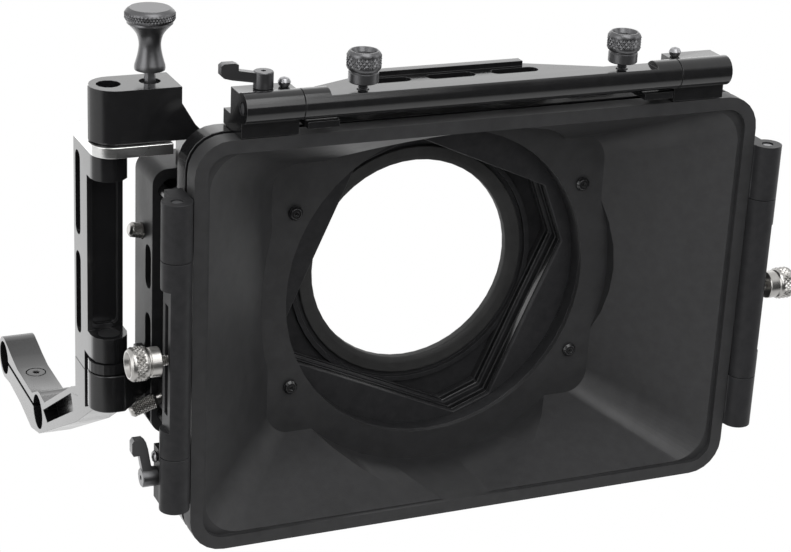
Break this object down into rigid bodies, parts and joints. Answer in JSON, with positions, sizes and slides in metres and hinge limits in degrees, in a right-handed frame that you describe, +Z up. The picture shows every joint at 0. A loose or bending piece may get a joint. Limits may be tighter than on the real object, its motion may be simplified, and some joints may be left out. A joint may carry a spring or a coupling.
{
  "type": "matte box",
  "caption": "Swing-away camera matte box: hood, rotating filter stages and flag hinges on a column that clamps to a pair of support rods.",
  "frame": {"origin": "midway between the two rod bores, in the middle of the clamp", "axes": "+X along the rods and the rod bores, +Y from the hood to the lens side of the open box and across the rods, +Z up"},
  "size_m": [0.2812, 0.2219, 0.2173],
  "materials": {
    "anodised": "black anodised aluminium, satin",
    "plastic": "black moulded plastic, fine matte grain",
    "gunmetal": "dark grey polished aluminium, knurled grips",
    "stainless": "bright stainless steel, fine grain",
    "bright": "bright steel, knurled grips",
    "steel": "plain steel",
    "rubber": "soft black rubber"
  },
  "bodies": {
    "support": {"rod_clamp": "anodised", "hinge_column": "anodised", "index_plate": "stainless", "lower_hinge_pin": "steel", "upper_hinge_pin": "steel", "hinge_washer": "anodised"},
    "clamp_screw": {"clamp_screw": "anodised"},
    "box": {"hood": "plastic", "hood_frame": "anodised", "front_plate": "anodised", "top_bridge": "anodised", "corner_post_1": "anodised", "corner_post_2": "anodised", "corner_post_3": "anodised", "corner_post_4": "anodised", "hood_screw_1": "anodised", "hood_screw_2": "anodised", "hood_screw_3": "anodised", "hood_screw_4": "anodised", "rear_frame": "anodised", "donut_ring": "rubber", "upper_arm": "anodised", "lower_arm": "anodised", "plunger_bush": "steel", "plunger_spring": "steel", "top_left_end_block": "anodised", "top_right_end_block": "anodised", "top_left_pin": "steel", "top_right_pin": "steel", "left_upper_knuckle": "anodised", "left_lower_knuckle": "anodised", "right_upper_knuckle": "anodised", "right_lower_knuckle": "anodised", "left_upper_pin": "steel", "left_lower_pin": "steel", "right_upper_pin": "steel", "right_lower_pin": "steel", "top_left_stop_screw": "steel", "top_right_stop_screw": "steel", "left_stop_screw": "steel", "right_stop_screw": "steel"},
    "plunger": {"index_plunger": "steel", "plunger_knob": "gunmetal"},
    "top_flag": {"top_barrel": "anodised", "top_flag_plate": "anodised"},
    "top_left_thumb": {"top_left_thumb_screw": "gunmetal"},
    "top_right_thumb": {"top_right_thumb_screw": "gunmetal"},
    "left_flag": {"left_barrel": "anodised"},
    "left_thumb": {"left_thumb_screw": "bright"},
    "right_flag": {"right_barrel": "anodised"},
    "right_thumb": {"right_thumb_screw": "bright"},
    "top_lever": {"top_lever": "gunmetal"},
    "left_lever": {"left_lever": "gunmetal"},
    "front_stage": {"front_stage_ring": "anodised"},
    "rear_stage": {"rear_stage_ring": "anodised"},
    "front_tray": {"front_filter_tray": "anodised"},
    "rear_tray": {"rear_filter_tray": "anodised"},
    "front_lock": {"front_lock_screw": "bright"},
    "rear_lock": {"rear_lock_screw": "bright"}
  },
  "joints": [
    {"name": "swing", "type": "hinge", "parent": "support", "child": "box", "pos_m": [-0.0055, -0.134, 0.085], "axis": [0, 0, 1], "range_deg": [-90, 0]},
    {"name": "plunger_lift", "type": "slide", "parent": "box", "child": "plunger", "axis": [0, 0, 1], "range_m": [-0.0025, 0]},
    {"name": "clamp_screw_turn", "type": "hinge", "parent": "support", "child": "clamp_screw", "pos_m": [0, 0, 0], "axis": [0, 0, 1], "continuous": true},
    {"name": "top_flag_tilt", "type": "hinge", "parent": "box", "child": "top_flag", "pos_m": [0.1285, -0.1758, 0.1774], "axis": [1, 0, 0], "range_deg": [0, 110]},
    {"name": "top_left_thumb_turn", "type": "hinge", "parent": "top_flag", "child": "top_left_thumb", "pos_m": [0.076, -0.1758, 0.1811], "axis": [0, 0, 1], "continuous": true},
    {"name": "top_right_thumb_turn", "type": "hinge", "parent": "top_flag", "child": "top_right_thumb", "pos_m": [0.181, -0.1758, 0.1811], "axis": [0, 0, 1], "continuous": true},
    {"name": "left_flag_turn", "type": "hinge", "parent": "box", "child": "left_flag", "pos_m": [0.0072, -0.1758, 0.085], "axis": [0, 0, 1], "range_deg": [-30, 90]},
    {"name": "left_thumb_turn", "type": "hinge", "parent": "left_flag", "child": "left_thumb", "pos_m": [0.0037, -0.1758, 0.085], "axis": [-1, 0, 0], "continuous": true},
    {"name": "right_flag_turn", "type": "hinge", "parent": "box", "child": "right_flag", "pos_m": [0.2498, -0.1758, 0.085], "axis": [0, 0, 1], "range_deg": [-90, 30]},
    {"name": "right_thumb_turn", "type": "hinge", "parent": "right_flag", "child": "right_thumb", "pos_m": [0.2533, -0.1758, 0.085], "axis": [1, 0, 0], "continuous": true},
    {"name": "top_lever_turn", "type": "hinge", "parent": "box", "child": "top_lever", "pos_m": [0.041, -0.1682, 0.182], "axis": [0, 0, 1], "range_deg": [-80, 80]},
    {"name": "left_lever_turn", "type": "hinge", "parent": "box", "child": "left_lever", "pos_m": [0.0029, -0.1682, 0.0352], "axis": [-1, 0, 0], "range_deg": [-80, 80]},
    {"name": "front_stage_turn", "type": "hinge", "parent": "box", "child": "front_stage", "pos_m": [0.1285, -0.1258, 0.085], "axis": [0, 1, 0], "continuous": true},
    {"name": "rear_stage_turn", "type": "hinge", "parent": "box", "child": "rear_stage", "pos_m": [0.1285, -0.1138, 0.085], "axis": [0, 1, 0], "continuous": true},
    {"name": "front_tray_slide", "type": "slide", "parent": "front_stage", "child": "front_tray", "axis": [0.4067, 0, 0.9135], "range_m": [0, 0.03]},
    {"name": "rear_tray_slide", "type": "slide", "parent": "rear_stage", "child": "rear_tray", "axis": [0.4067, 0, 0.9135], "range_m": [0, 0.03]},
    {"name": "front_lock_turn", "type": "hinge", "parent": "box", "child": "front_lock", "pos_m": [0.03372, -0.1285, 0.0531], "axis": [-0.9478, 0, -0.319], "continuous": true},
    {"name": "rear_lock_turn", "type": "hinge", "parent": "box", "child": "rear_lock", "pos_m": [0.03091, -0.1118, 0.10681], "axis": [-0.9759, 0, 0.2181], "continuous": true}
  ]
}
